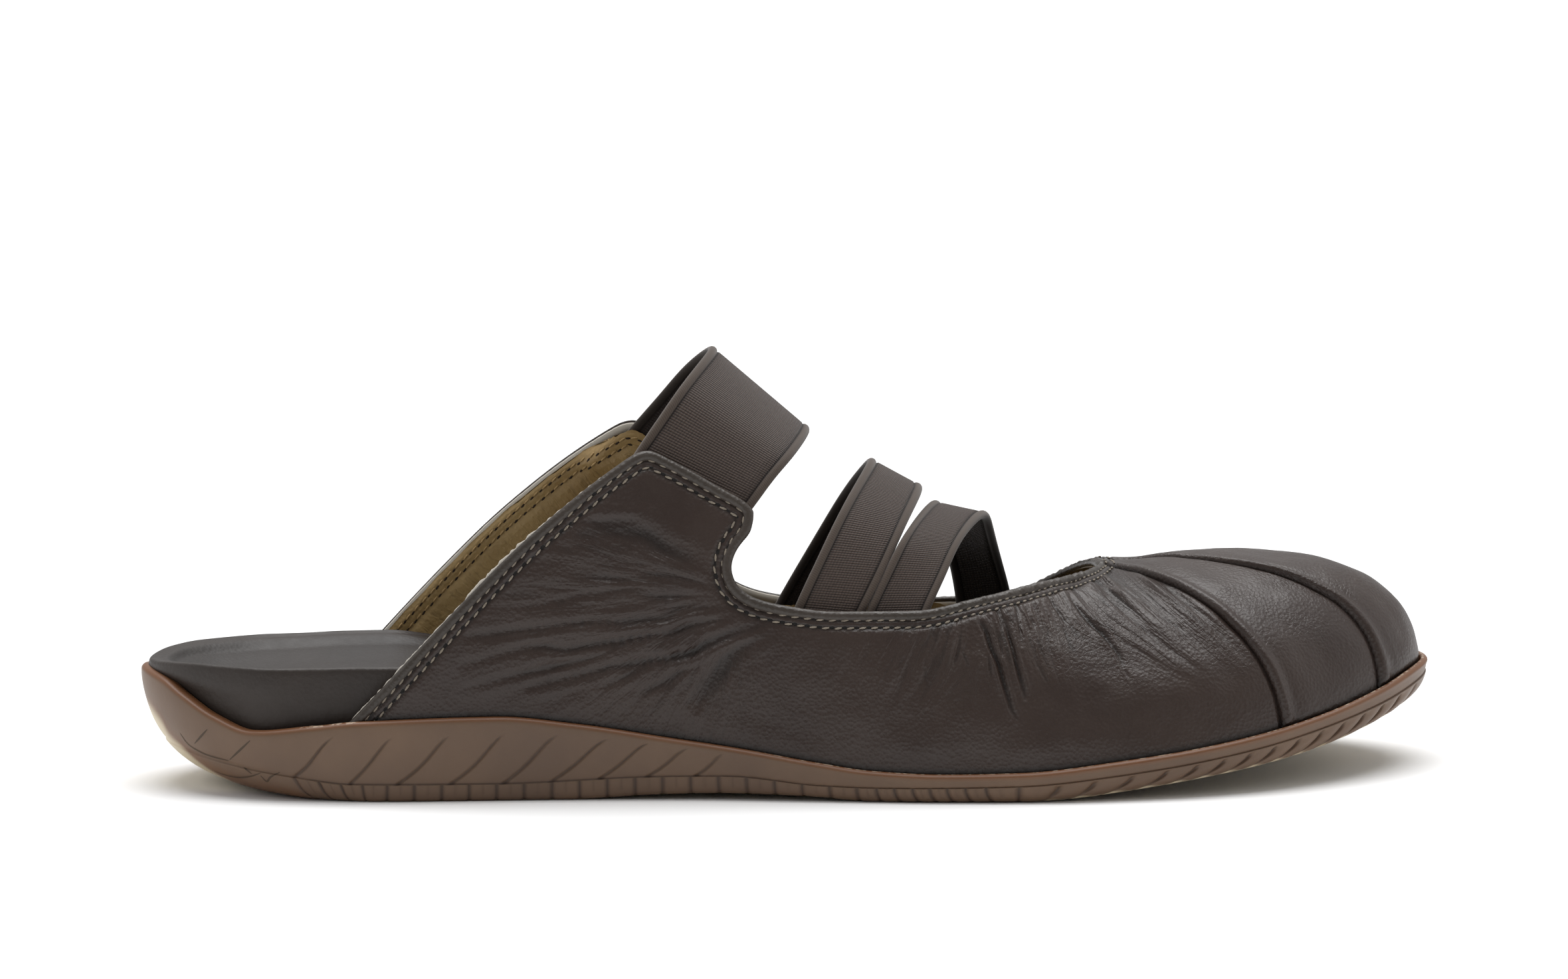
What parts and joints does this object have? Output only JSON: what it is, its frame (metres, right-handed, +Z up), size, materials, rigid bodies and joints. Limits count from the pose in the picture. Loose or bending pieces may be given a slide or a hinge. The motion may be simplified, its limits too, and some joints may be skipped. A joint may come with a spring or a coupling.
{
  "type": "slip-on mule shoe",
  "caption": "Right-foot slip-on mule with a closed pleated toe, open heel, elastic instep straps, leather-covered footbed and a ribbed gum-rubber cup sole.",
  "frame": {"origin": "centre of the shoe's box, on the ground plane that the sole rests on", "axes": "+X to the toe, +Y to the inner (medial) side of the right foot, +Z up"},
  "size_m": [0.2598, 0.0907, 0.0865],
  "materials": {
    "gum_rubber": "semi-gloss moulded gum rubber",
    "footbed_leather": "matte lining leather",
    "upper_leather": "soft-sheen full-grain leather",
    "woven_elastic": "matte ribbed weave"
  },
  "bodies": {
    "root": {"outsole": "gum_rubber", "footbed": "footbed_leather", "upper": "upper_leather", "strap_instep": "woven_elastic", "strap_middle": "woven_elastic", "strap_front": "woven_elastic"}
  },
  "joints": []
}
